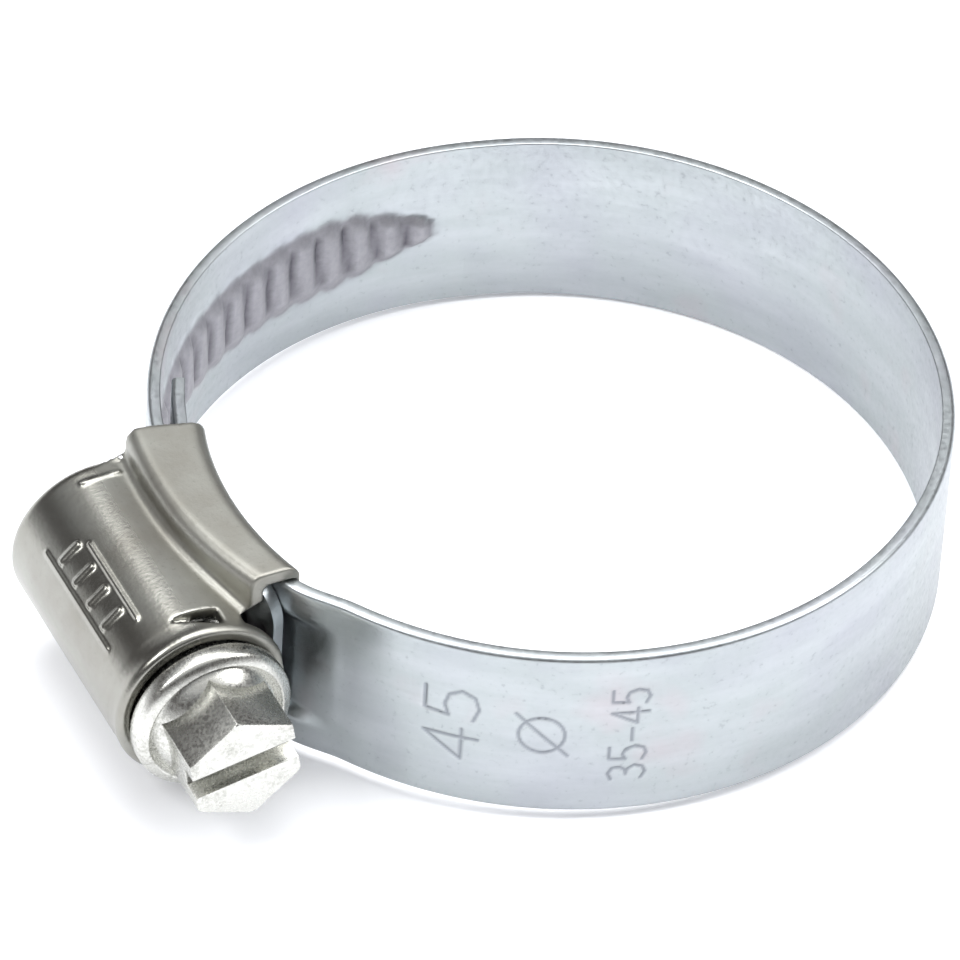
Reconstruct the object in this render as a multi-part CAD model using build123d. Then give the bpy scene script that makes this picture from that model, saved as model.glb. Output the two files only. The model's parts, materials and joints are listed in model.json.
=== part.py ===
from build123d import *
import math
import os

# Worm-drive hose clamp: a steel band with a pressed thread, a one-piece pressed
# housing (saddle and barrel) and a flanged hexagon worm screw with a slot.
# Frame: millimetres. The origin is the centre of the closed ring at half the
# band's width, +Z is the ring's axis, the housing is on the -X side and the
# screw runs parallel to +Y, from its head to its tip.

# ---- Driving dimensions ------------------------------------------------------
bore_diameter = 45.0          # inside the closed ring, the hose it fits
band_width = 12.0
band_thickness = 0.8
band_edge_radius = 0.25
flex_segments = 10            # rigid pieces that stand for the bending band

thread_pitch = 2.1            # along the band, and of the worm
thread_engagement = 0.55      # how deep the worm's crest runs in the band
tooth_pad_length = 5.6        # pressed tooth seen on the band's inner side, across the band
tooth_pad_width = 1.45
tooth_pad_height = 0.35
tooth_pad_round_share = 0.8    # of the pad's height, so that the rounding stays within it
tooth_pad_sunk = 0.1          # how far a pad's root sits in the band
tail_tip_corner = 3.0         # corner radius of the threaded end's tip
tail_tip_round_share = 0.999  # keeps the outline's corners just short of meeting

screw_thread_radius = 3.6     # crest of the worm
thread_depth = 0.85
crest_width = 0.6
thread_flank_degrees = 18.0
screw_journal_radius = 4.45   # collar that turns in the barrel's mouth
screw_journal_length = 1.7
tip_journal_radius = 2.25
tip_journal_length = 1.2
flange_radius = 4.9
flange_thickness = 1.2
flange_bevel = 0.55
hex_across_flats = 6.5
hex_height = 4.3
hex_turn_degrees = 20.0
hex_crown_margin = 0.2        # corners of the front face are broken by a shallow cone
hex_crown_degrees = 30.0
slot_width = 1.5
slot_depth = 1.3

housing_wall = 0.9
barrel_wall = 0.85
barrel_start = -10.6          # mouth, on the head side
barrel_end = 5.6              # closed end, on the tip side
saddle_start = -9.0
saddle_end = 4.6
saddle_height = 3.6           # roof's outer edge above the bore
saddle_edge_round = 0.7
barrel_edge_round = 0.4
rib_height = 0.13
rib_width = 0.24
rib_degrees = (31.0, 59.0)    # long ribs, round the barrel from its crown
rib_mouth_margin = 3.4        # mouth to the long ribs
rib_length = 8.0
bar_width = 0.4
bar_length = 1.7
bar_count = 4
bar_pitch = 2.0
lug_length = 2.6
lug_height = 0.7
lug_width = 1.8
lug_degrees = 52.0            # from the barrel's side towards its crown
lug_mouth_margin = 0.9

# ---- Named clearances --------------------------------------------------------
slide_clearance = 0.05        # between band layers and the saddle's floor
side_clearance = 0.1          # band edge to the housing's side wall
roof_clearance = 0.25         # above the threaded band inside the housing
journal_clearance = 0.1       # collar and tip in their bores
worm_clearance = 0.14         # worm crest and flanks in the pressed teeth
worm_end_margin = 0.6         # worm's ridge to the collar and to the barrel's end wall
tip_shoulder_gap = 0.3        # worm's core to the barrel's end wall
flange_gap = 0.5              # flange to the barrel's mouth
pad_clearance = 0.12          # tooth pads over the trough in the fixed end
trough_side_clearance = 0.48  # tooth pads beside the trough's walls
joint_overlap = 0.15          # how far pieces of one solid run into each other
cut_margin = 2.0              # how far cutting bodies run past what they cut

# ---- Angles, counter-clockwise from +X, in degrees ---------------------------
tail_root_angle = 77.0        # where the bending part of the ring meets the threaded end
fixed_joint_angle = -142.0    # where the bending part meets the fixed end
tongue_angle = 155.0          # free tip of the fixed end, past the saddle
ring_stretch_degrees = 5.0    # fixed end's plain stretch before its joggle
tail_tip_overhang = 2.0       # threaded end past the saddle's near mouth
saddle_floor = 0.53           # floor under the tongue, thinnest in the middle
spiral_direction = 199.5      # centre of the threaded end's arc, off the ring's centre
passage_degrees = (140.0, 230.0)
first_tooth_margin = 3.5      # degrees from the root to the first tooth
last_tooth_margin = 3.0       # degrees from the last tooth to the tip

# ---- Worked-out values -------------------------------------------------------
bore_radius = bore_diameter / 2
half_width = band_width / 2
floor_half_width = half_width + side_clearance + housing_wall
hex_crown_radius = hex_across_flats / 2 + hex_crown_margin
saddle_crown_radius = bore_radius + saddle_height
shift_radians = math.radians(spiral_direction)
root_radians = math.radians(spiral_direction - tail_root_angle)
spiral_shift = (saddle_floor + band_thickness + 2 * slide_clearance) / (1 - math.cos(root_radians))
spiral_x = spiral_shift * math.cos(shift_radians)
spiral_y = spiral_shift * math.sin(shift_radians)


def polar(radius, degrees):
    """Point on a circle about the ring's centre."""
    angle = math.radians(degrees)
    return (radius * math.cos(angle), radius * math.sin(angle))


def spiral_angle(x, y):
    """Direction of a point seen from the centre of the threaded end's arc."""
    return math.degrees(math.atan2(y - spiral_y, x - spiral_x)) % 360


root_x, root_y = polar(bore_radius, tail_root_angle)
tail_inner = math.hypot(root_x - spiral_x, root_y - spiral_y)
tail_outer = tail_inner + band_thickness
tongue_outer = tail_inner - slide_clearance
tongue_inner = tongue_outer - band_thickness
floor_outer = tongue_inner - slide_clearance
tooth_angle = math.degrees(thread_pitch / tail_outer)

screw_x = spiral_x - tail_outer + thread_engagement - screw_thread_radius
barrel_bore_radius = screw_journal_radius + journal_clearance
barrel_outer_radius = barrel_bore_radius + barrel_wall
lead_degrees = math.degrees(
    math.atan(thread_pitch / (2 * math.pi * (screw_thread_radius - thread_engagement)))
)
thread_root_radius = screw_thread_radius - thread_depth
flank_run = thread_depth * math.tan(math.radians(thread_flank_degrees))
flange_back = barrel_start - flange_gap
flange_front = flange_back - flange_thickness
head_front = flange_front - hex_height
saddle_middle = (saddle_start + saddle_end) / 2

near_x = -math.sqrt(tail_inner**2 - (saddle_start - spiral_y) ** 2) + spiral_x
near_mouth_angle = spiral_angle(near_x, saddle_start)
tail_tip_angle = near_mouth_angle + math.degrees(tail_tip_overhang / tail_inner)
tail_root_turn = spiral_angle(root_x, root_y)


def prism(radius_in, radius_out, start, end, half, centre=(0, 0)):
    """Ring sector between two angles, z from -half to +half."""
    inner = CenterArc((0, 0), radius_in, start, end - start)
    outer = CenterArc((0, 0), radius_out, start, end - start)
    outline = [inner, outer, Line(inner @ 0, outer @ 0), Line(inner @ 1, outer @ 1)]
    sector = extrude(make_face(outline), amount=half, both=True)
    return Pos(centre[0], centre[1], 0) * sector


def band_arc(radius_in, start, end, centre=(0, 0)):
    """Stretch of band with rounded long edges, about an axis parallel to Z."""
    middle = radius_in + band_thickness / 2
    section = Plane.XZ * Pos(middle, 0) * RectangleRounded(
        band_thickness, band_width, band_edge_radius
    )
    strip = revolve(section, Axis.Z, end - start)
    return Pos(centre[0], centre[1], 0) * Rot(0, 0, start) * strip


def along_screw(y):
    """Location on the screw's axis, local Z pointing from the head to the tip."""
    return Pos(screw_x, y, 0) * Rot(-90, 0, 0)


def screw_disc(radius, y_start, y_end):
    """Cylinder on the screw's axis between two places along Y."""
    middle = (y_start + y_end) / 2
    return along_screw(middle) * Cylinder(radius, y_end - y_start)


def build_segments():
    """The bending part of the ring as equal rigid pieces, from the fixed end round."""
    step = (tail_root_angle - fixed_joint_angle) / flex_segments
    starts = [fixed_joint_angle + step * i for i in range(flex_segments)]
    return [band_arc(bore_radius, start, start + step) for start in starts]


def fixed_end():
    """Band's fixed end: ring stretch, joggle up onto the saddle's floor, tongue."""
    ring_start = fixed_joint_angle + 360
    ring_end = ring_start - ring_stretch_degrees
    joggle_end = near_mouth_angle + 1.0
    tongue_x, tongue_y = polar(tongue_inner + spiral_shift, tongue_angle)
    tongue_turn = spiral_angle(tongue_x, tongue_y)
    edges = []
    for ring_radius, tongue_radius in (
        (bore_radius, tongue_inner),
        (bore_radius + band_thickness, tongue_outer),
    ):
        ring = CenterArc((0, 0), ring_radius, ring_start, ring_end - ring_start)
        tongue = CenterArc(
            (spiral_x, spiral_y), tongue_radius, joggle_end, tongue_turn - joggle_end
        )
        joggle = Spline(ring @ 1, tongue @ 0, tangents=(ring % 1, tongue % 0))
        edges.append((ring, joggle, tongue))
    (ring_a, joggle_a, tongue_a), (ring_b, joggle_b, tongue_b) = edges
    outline = [ring_a, joggle_a, tongue_a, ring_b, joggle_b, tongue_b]
    outline.append(Line(ring_a @ 0, ring_b @ 0))
    outline.append(Line(tongue_a @ 1, tongue_b @ 1))
    strip = extrude(make_face(outline), amount=half_width, both=True)
    for side in (Axis.Z, -Axis.Z):
        rim = strip.faces().sort_by(side)[-1].edges().filter_by(
            lambda edge: edge.length > 2 * band_thickness
        )
        strip = fillet(rim, band_edge_radius)
    trough = prism(
        tongue_outer - tooth_pad_height - pad_clearance + slide_clearance,
        tongue_outer + cut_margin,
        tongue_turn - cut_margin,
        ring_end,
        tooth_pad_length / 2 + trough_side_clearance,
        (spiral_x, spiral_y),
    )
    return strip - trough


def tooth_cutter():
    """Tilted disc with the worm's section, grown by the clearance, at the mesh point."""
    crest = screw_thread_radius + worm_clearance
    half_crest = crest_width / 2 + worm_clearance
    half_root = half_crest + flank_run
    with_root = [
        (thread_root_radius, -half_root),
        (crest, -half_crest),
        (crest, half_crest),
        (thread_root_radius, half_root),
    ]
    section = Plane.XZ * make_face(Polyline(*with_root, close=True))
    disc = revolve(section, Axis.Z, 360)
    return Pos(screw_x, spiral_y, 0) * Rot(lead_degrees, 0, 0) * Rot(-90, 0, 0) * disc


def tooth_pad():
    """Back of one pressed tooth on the band's inner side, at the mesh point."""
    pad = extrude(SlotOverall(tooth_pad_length, tooth_pad_width), amount=tooth_pad_height + tooth_pad_sunk)
    top = pad.edges().group_by(Axis.Z)[0]
    pad = fillet(top, tooth_pad_height * tooth_pad_round_share)
    place = Pos(spiral_x - tail_inner + tooth_pad_height, spiral_y, 0)
    return place * Rot(lead_degrees, 0, 0) * Rot(0, -90, 0) * pad


def turned(shape, degrees):
    """Turn a shape about the centre of the threaded end's arc."""
    return Pos(spiral_x, spiral_y, 0) * Rot(0, 0, degrees) * Pos(-spiral_x, -spiral_y, 0) * shape


def band_tail():
    """Threaded free end of the band, with rounded tip and pressed teeth."""
    centre = (spiral_x, spiral_y)
    tip_turn = math.degrees(tail_tip_corner / tail_inner)
    body_end = tail_tip_angle - tip_turn
    strip = band_arc(tail_inner, tail_root_turn - 4, tail_tip_angle, centre)
    root_side = Rot(0, 0, tail_root_angle) * Pos(bore_radius, -cut_margin * 2, 0) * Box(
        8 * band_thickness, cut_margin * 4, 2 * band_width
    )
    strip -= root_side
    tip_block = prism(
        tail_inner - band_thickness,
        tail_outer + band_thickness,
        body_end,
        tail_tip_angle + tip_turn,
        band_width,
        centre,
    )
    outline = RectangleRounded(2 * tail_tip_corner, band_width, tail_tip_corner * tail_tip_round_share)
    punch = extrude(outline, amount=2 * bore_radius)
    punch = Pos(spiral_x, spiral_y, 0) * Rot(0, 0, body_end) * Rot(90, 0, 90) * punch
    strip -= tip_block - punch
    first_tooth = 180 - math.floor((180 - tail_root_turn - first_tooth_margin) / tooth_angle) * tooth_angle
    last_tooth = tail_tip_angle - last_tooth_margin
    count = math.floor((last_tooth - first_tooth) / tooth_angle) + 1
    angles = [first_tooth + tooth_angle * i - 180 for i in range(count)]
    strip += [turned(tooth_pad(), angle) for angle in angles]
    strip -= Cylinder(bore_radius, 2 * band_width)
    strip -= [turned(tooth_cutter(), angle) for angle in angles]
    return strip


def barrel_bar(degrees, start, length, width):
    """Bar along the barrel, standing proud of it, turned from the crown towards +Z."""
    thickness = rib_height + barrel_wall / 2
    middle = -(barrel_outer_radius + rib_height - thickness / 2)
    bar = Pos(middle, start + length / 2, 0) * Box(thickness, length, width)
    return Pos(screw_x, 0, 0) * Rot(0, degrees, 0) * bar


def barrel_ribs():
    """Plain raised ribs along the barrel, with short bars between them."""
    start = barrel_start + rib_mouth_margin
    ribs = [barrel_bar(degrees, start, rib_length, rib_width) for degrees in rib_degrees]
    middle = sum(rib_degrees) / 2
    for number in range(bar_count):
        bar_start = start + bar_pitch * (number + 0.5) - bar_width / 2
        ribs.append(barrel_bar(middle, bar_start, bar_width, bar_length))
    return ribs


def saddle_block(radius_out, half, start, end):
    """Saddle's outer form between the bore and its crown, cut square at both ends."""
    crown = Pos(0, saddle_middle, 0) * Cylinder(radius_out, 2 * half)
    block = crown - Cylinder(bore_radius, 2 * half + cut_margin)
    length = end - start
    keep = Pos(-radius_out, (start + end) / 2, 0) * Box(2 * radius_out, length, 2 * half + cut_margin)
    return block & keep


def housing():
    """One-piece pressed housing: floor, side walls, roofs and open-bottomed barrel."""
    saddle = saddle_block(saddle_crown_radius, floor_half_width, saddle_start, saddle_end)
    long_edges = [
        edge
        for edge in saddle.edges().filter_by(GeomType.CIRCLE)
        if abs(abs(edge.center().Z) - floor_half_width) < side_clearance
    ]
    saddle = fillet(long_edges, saddle_edge_round)
    barrel = screw_disc(barrel_outer_radius, barrel_start, barrel_end)
    rims = barrel.edges().filter_by(GeomType.CIRCLE)
    barrel = fillet(rims, barrel_edge_round)
    inside = Pos(0, saddle_middle, 0) * Cylinder(
        saddle_crown_radius - 2 * housing_wall, 2 * band_width
    )
    arch = barrel - inside
    body = saddle + arch + barrel_ribs()
    for side in (-1, 1):
        body += lug(side)
    passage = prism(
        floor_outer,
        tail_outer + roof_clearance,
        *passage_degrees,
        half_width + side_clearance,
        (spiral_x, spiral_y),
    )
    body -= passage
    bore_start = barrel_start - cut_margin
    body -= screw_disc(barrel_bore_radius, bore_start, barrel_end - barrel_wall)
    tip_hole_radius = tip_journal_radius + journal_clearance
    body -= screw_disc(tip_hole_radius, bore_start, barrel_end + cut_margin)
    return body


def lug(side):
    """Small triangular lug pressed out of the barrel near its mouth."""
    outline = Polyline((0, 0), (lug_length, 0), (lug_length, lug_height), close=True)
    wedge = extrude(make_face(outline), amount=lug_width / 2, both=True)
    mouth = Pos(screw_x, barrel_start + lug_mouth_margin + lug_length, 0)
    place = mouth * Rot(0, side * (180 - lug_degrees) - 90, 0)
    out = barrel_outer_radius - joint_overlap
    return place * Pos(0, 0, out) * Rot(0, 0, -90) * Rot(90, 0, 0) * wedge


def worm_thread():
    """Helical ridge of the worm, from behind the collar to the tip journal."""
    start = flange_back + screw_journal_length + worm_end_margin
    end = barrel_end - barrel_wall - worm_end_margin
    turns = math.floor((end - start) / thread_pitch)
    length = turns * thread_pitch
    sunk = joint_overlap
    half_crest = crest_width / 2
    half_root = half_crest + flank_run
    path = Helix(thread_pitch, length, thread_root_radius)
    section = Plane(path @ 0, x_dir=(1, 0, 0), z_dir=path % 0) * make_face(
        Polyline(
            (-sunk, -half_root),
            (0, -half_root),
            (thread_depth, -half_crest),
            (thread_depth, half_crest),
            (0, half_root),
            (-sunk, half_root),
            close=True,
        )
    )
    ridge = sweep(section, path, is_frenet=True)
    phase = mesh_phase(start)
    return along_screw(start) * Rot(0, 0, phase) * ridge


def mesh_phase(start):
    """Turn of the helix that puts its crest at the mesh point on the band's side."""
    turns = (spiral_y - start) / thread_pitch
    return -360 * (turns - math.floor(turns))


def screw():
    """Worm screw: slotted hexagon head, flange, collar, worm and tip journal."""
    hexagon = RegularPolygon(hex_across_flats / 2, 6, major_radius=False)
    head = along_screw(head_front) * Rot(0, 0, hex_turn_degrees) * extrude(
        hexagon, hex_height + joint_overlap
    )
    cone_length = hex_height + cut_margin
    crown = along_screw(head_front) * Cone(
        hex_crown_radius,
        hex_crown_radius + cone_length / math.tan(math.radians(hex_crown_degrees)),
        cone_length,
        align=(Align.CENTER, Align.CENTER, Align.MIN),
    )
    head = head & crown
    slot = along_screw(head_front) * Rot(0, 0, hex_turn_degrees + 60) * Box(
        slot_width, 2 * hex_across_flats, 2 * slot_depth
    )
    head -= slot
    flange = screw_disc(flange_radius, flange_front, flange_back)
    front_rim = flange.edges().filter_by(GeomType.CIRCLE).sort_by(Axis.Y)[0]
    flange = chamfer(front_rim, flange_bevel)
    collar_end = flange_back + screw_journal_length
    collar = screw_disc(screw_journal_radius, flange_back, collar_end)
    tip_end = barrel_end + tip_journal_length - barrel_wall
    core_end = barrel_end - barrel_wall - tip_shoulder_gap
    core = screw_disc(thread_root_radius, collar_end, core_end)
    tip = screw_disc(tip_journal_radius, core_end, tip_end)
    return head + flange + collar + core + tip + worm_thread()


def main():
    os.makedirs("parts", exist_ok=True)
    pieces = {
        "housing": housing(),
        "screw": screw(),
        "band_fixed_end": fixed_end(),
        "band_tail": band_tail(),
    }
    for number, segment in enumerate(build_segments(), start=1):
        pieces[f"band_segment_{number:02d}"] = segment
    for name, shape in pieces.items():
        export_step(shape, f"parts/{name}.step")
    print("screw axis at x =", round(screw_x, 4))
    print("tooth angle =", round(tooth_angle, 5))
    print("arc centre of the threaded end =", round(spiral_x, 5), round(spiral_y, 5))


if __name__ == "__main__":
    main()
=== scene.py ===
"""Detailed pieces of a worm-drive hose clamp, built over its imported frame."""

import json
import logging
import math
from collections.abc import Callable
from dataclasses import dataclass, field
from enum import Enum

import bmesh
import bpy
import numpy as np
from mathutils import Matrix, Vector


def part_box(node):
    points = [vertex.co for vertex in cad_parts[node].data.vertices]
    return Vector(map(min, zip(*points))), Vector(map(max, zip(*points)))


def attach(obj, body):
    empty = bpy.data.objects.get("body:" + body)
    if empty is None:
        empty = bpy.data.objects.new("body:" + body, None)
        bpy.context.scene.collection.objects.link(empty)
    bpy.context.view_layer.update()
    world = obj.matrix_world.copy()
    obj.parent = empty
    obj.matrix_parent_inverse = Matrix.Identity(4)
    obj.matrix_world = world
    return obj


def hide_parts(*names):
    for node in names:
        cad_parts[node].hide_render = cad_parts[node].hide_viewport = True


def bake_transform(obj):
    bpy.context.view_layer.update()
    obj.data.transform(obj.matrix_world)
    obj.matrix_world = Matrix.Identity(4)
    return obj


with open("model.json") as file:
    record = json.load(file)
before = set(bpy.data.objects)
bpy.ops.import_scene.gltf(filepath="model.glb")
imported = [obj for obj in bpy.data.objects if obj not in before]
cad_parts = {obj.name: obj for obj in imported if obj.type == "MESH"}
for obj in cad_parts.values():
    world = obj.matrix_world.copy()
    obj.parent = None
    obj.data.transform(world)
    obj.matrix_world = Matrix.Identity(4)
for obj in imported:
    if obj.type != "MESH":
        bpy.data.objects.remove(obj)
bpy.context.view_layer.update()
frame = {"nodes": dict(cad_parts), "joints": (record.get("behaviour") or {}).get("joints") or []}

LOG = logging.getLogger("hose_clamp")
MM = 0.001
JOINTS = {joint["name"]: joint for joint in frame["joints"]}
FLEX_COUNT = sum(name.startswith("flex_") for name in JOINTS)

Shape = Callable[[np.ndarray], np.ndarray]


class Slot(Enum):
    """Material slots of the record."""

    BAND = "band_steel"
    HOUSING = "housing_steel"
    SCREW = "screw_steel"


# ---- Small helpers -------------------------------------------------------------


def linear(hex_colour: str) -> tuple[float, float, float, float]:
    """Turn an sRGB hex colour to linear values.

    Args:
        hex_colour: Six hex digits, with or without a leading hash.

    Returns:
        Linear red, green, blue and full alpha.
    """
    digits = hex_colour.lstrip("#")
    channels = [int(digits[i : i + 2], 16) / 255 for i in (0, 2, 4)]
    values = [c / 12.92 if c <= 0.04045 else ((c + 0.055) / 1.055) ** 2.4 for c in channels]
    return (values[0], values[1], values[2], 1.0)


def add_node(
    tree: bpy.types.NodeTree, kind: str, settings: dict | None = None, inputs: dict | None = None
) -> bpy.types.Node:
    """Add a node with its settings and links.

    Args:
        tree: Node tree that takes the node.
        kind: Type name of the node.
        settings: Attributes set on the node.
        inputs: Socket name or number to a value, or to a socket it is linked from.

    Returns:
        The new node.
    """
    node = tree.nodes.new(kind)
    for key, value in (settings or {}).items():
        setattr(node, key, value)
    for key, value in (inputs or {}).items():
        if isinstance(value, bpy.types.NodeSocket):
            tree.links.new(value, node.inputs[key])
        else:
            node.inputs[key].default_value = value
    return node


def add_noise(
    tree: bpy.types.NodeTree, place: object, scale: float, detail: float, rough: float = 0.5
) -> bpy.types.Node:
    """Add a noise texture of a given scale at a place."""
    inputs = {"Vector": place, "Scale": scale, "Detail": detail, "Roughness": rough}
    return add_node(tree, "ShaderNodeTexNoise", None, inputs)


def add_range(
    tree: bpy.types.NodeTree,
    value: object,
    given: tuple[float, float],
    wanted: tuple[float, float] = (0.0, 1.0),
) -> bpy.types.Node:
    """Add a node that carries a value from the given range to the wanted one."""
    inputs = {"Value": value, "From Min": given[0], "From Max": given[1]}
    inputs |= {"To Min": wanted[0], "To Max": wanted[1]}
    return add_node(tree, "ShaderNodeMapRange", None, inputs)


def joint_place(name: str) -> np.ndarray:
    """Place of a joint in millimetres."""
    return np.array(JOINTS[name]["pos_m"], float) / MM


def node_box(name: str) -> tuple[np.ndarray, np.ndarray]:
    """Lowest and highest corners of a frame node in millimetres."""
    low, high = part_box(name)
    return np.array(low) / MM, np.array(high) / MM


def smoothstep(low: float, high: float, value: np.ndarray) -> np.ndarray:
    """Smooth rise from 0 at low to 1 at high, or a fall where high is below low."""
    t = np.clip((value - low) / (high - low), 0.0, 1.0)
    return t * t * (3.0 - 2.0 * t)


# ---- Workshop: primitives, edit-mode steps and finishing ------------------------


class Workshop:
    """Modelling steps in millimetres, each ending with one mesh object."""

    @staticmethod
    def clear() -> None:
        """Leave edit mode and deselect everything."""
        if bpy.context.object and bpy.context.object.mode != "OBJECT":
            bpy.ops.object.mode_set(mode="OBJECT")
        bpy.ops.object.select_all(action="DESELECT")

    @classmethod
    def take(cls, piece: bpy.types.Object) -> None:
        """Make a piece the only selected and active one."""
        cls.clear()
        piece.select_set(True)
        bpy.context.view_layer.objects.active = piece

    @classmethod
    def settle(cls, piece: bpy.types.Object) -> None:
        """Put a piece's place, turn and size into its mesh."""
        cls.take(piece)
        bpy.ops.object.transform_apply(location=True, rotation=True, scale=True)

    @classmethod
    def modify(cls, piece: bpy.types.Object, kind: str, **settings: object) -> None:
        """Add a modifier with its settings and apply it."""
        cls.take(piece)
        modifier = piece.modifiers.new(kind.title(), kind)
        for key, value in settings.items():
            setattr(modifier, key, value)
        bpy.ops.object.modifier_apply(modifier=modifier.name)

    @classmethod
    def pick_edges(
        cls, piece: bpy.types.Object, test: Callable[[np.ndarray, np.ndarray], bool]
    ) -> None:
        """Enter edit mode with only the edges that pass a test selected.

        Args:
            piece: Mesh object to edit.
            test: Takes the two end points of an edge and says whether it is wanted.
        """
        cls.take(piece)
        bpy.ops.object.mode_set(mode="EDIT")
        bpy.ops.mesh.select_mode(type="EDGE")
        bpy.ops.mesh.select_all(action="DESELECT")
        mesh = bmesh.from_edit_mesh(piece.data)
        for edge in mesh.edges:
            ends = [np.array(vert.co) for vert in edge.verts]
            edge.select_set(bool(test(ends[0], ends[1])))
        mesh.select_flush_mode()
        bmesh.update_edit_mesh(piece.data)

    @classmethod
    def cut_edges(
        cls,
        piece: bpy.types.Object,
        test: Callable[[np.ndarray, np.ndarray], bool],
        cuts: int,
    ) -> None:
        """Subdivide the edges that pass a test."""
        if cuts < 1:
            return
        cls.pick_edges(piece, test)
        bpy.ops.mesh.subdivide(number_cuts=cuts)
        bpy.ops.object.mode_set(mode="OBJECT")

    @staticmethod
    def points(piece: bpy.types.Object) -> np.ndarray:
        """Vertex places of a piece as rows."""
        flat = np.zeros(len(piece.data.vertices) * 3)
        piece.data.vertices.foreach_get("co", flat)
        return flat.reshape(-1, 3)

    @classmethod
    def reshape(cls, piece: bpy.types.Object, shape: Shape) -> None:
        """Move every vertex of a piece by a formula."""
        moved = np.ascontiguousarray(shape(cls.points(piece)), dtype=float)
        piece.data.vertices.foreach_set("co", moved.ravel())
        piece.data.update()

    @classmethod
    def bar(cls, name: str, low: tuple, high: tuple) -> bpy.types.Object:
        """A box between two corners."""
        cls.clear()
        low_corner, high_corner = Vector(low), Vector(high)
        bpy.ops.mesh.primitive_cube_add(size=1.0, location=(low_corner + high_corner) / 2)
        piece = bpy.context.object
        piece.name = name
        piece.scale = high_corner - low_corner
        cls.settle(piece)
        return piece

    @classmethod
    def loft(cls, name: str, around: int, stations: int, shape: Shape) -> bpy.types.Object:
        """A closed cylinder with even rings, carried to a shape.

        Args:
            name: Name of the piece.
            around: Points round each ring.
            stations: Rings along the piece.
            shape: Takes rows of (turn 0..1, station 0..1) and gives places.

        Returns:
            The piece, closed, with its faces outward.
        """
        cls.clear()
        bpy.ops.mesh.primitive_cylinder_add(vertices=around, radius=1.0, depth=1.0)
        piece = bpy.context.object
        piece.name = name
        cls.cut_edges(piece, lambda a, b: abs(a[2] - b[2]) > 0.5, stations - 2)

        def carried(points: np.ndarray) -> np.ndarray:
            """Carry the unit grid to its place."""
            turn = np.arctan2(points[:, 1], points[:, 0]) / math.tau % 1.0
            turn = np.round(turn * around) % around / around
            return shape(np.column_stack([turn, points[:, 2] + 0.5]))

        cls.reshape(piece, carried)
        cls.outward(piece)
        return piece

    @classmethod
    def outward(cls, piece: bpy.types.Object) -> None:
        """Merge doubled points and turn every face outward."""
        cls.take(piece)
        bpy.ops.object.mode_set(mode="EDIT")
        bpy.ops.mesh.select_all(action="SELECT")
        bpy.ops.mesh.remove_doubles(threshold=0.0005)
        bpy.ops.mesh.normals_make_consistent(inside=False)
        bpy.ops.object.mode_set(mode="OBJECT")

    @classmethod
    def combine(
        cls, piece: bpy.types.Object, other: bpy.types.Object, operation: str
    ) -> None:
        """Join, cut or keep one piece by another, which is used up."""
        cls.modify(piece, "BOOLEAN", operation=operation, object=other, solver="EXACT")
        bpy.data.objects.remove(other)

    @classmethod
    def gather(cls, pieces: list[bpy.types.Object]) -> bpy.types.Object:
        """Join several pieces into the first one."""
        cls.take(pieces[0])
        for other in pieces[1:]:
            other.select_set(True)
        bpy.ops.object.join()
        return pieces[0]

    @staticmethod
    def mark(piece: bpy.types.Object, name: str, values: np.ndarray) -> None:
        """Store one number for each vertex under a name."""
        attribute = piece.data.attributes.new(name, "FLOAT", "POINT")
        attribute.data.foreach_set("value", np.asarray(values, np.float32))

    @classmethod
    def finish(
        cls,
        piece: bpy.types.Object,
        name: str,
        material: bpy.types.Material,
        slot: Slot,
        smooth_degrees: float = 35.0,
    ) -> bpy.types.Object:
        """Bring a piece to metres, smooth it, name it and dress it.

        Args:
            piece: Piece in millimetres.
            name: Final name.
            material: Finish of the piece.
            slot: Material slot of the record; not used.
            smooth_degrees: Edges sharper than this stay crisp.

        Returns:
            The finished piece, at the origin.
        """
        cls.take(piece)
        bpy.ops.object.shade_smooth_by_angle(angle=math.radians(smooth_degrees))
        cls.reshape(piece, lambda points: points * MM)
        piece.name = name
        piece.data.name = name
        piece.data.materials.clear()
        piece.data.materials.append(material)
        LOG.info("%s: %d faces", name, len(piece.data.polygons))
        return piece


# ---- Finishes -------------------------------------------------------------------


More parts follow.
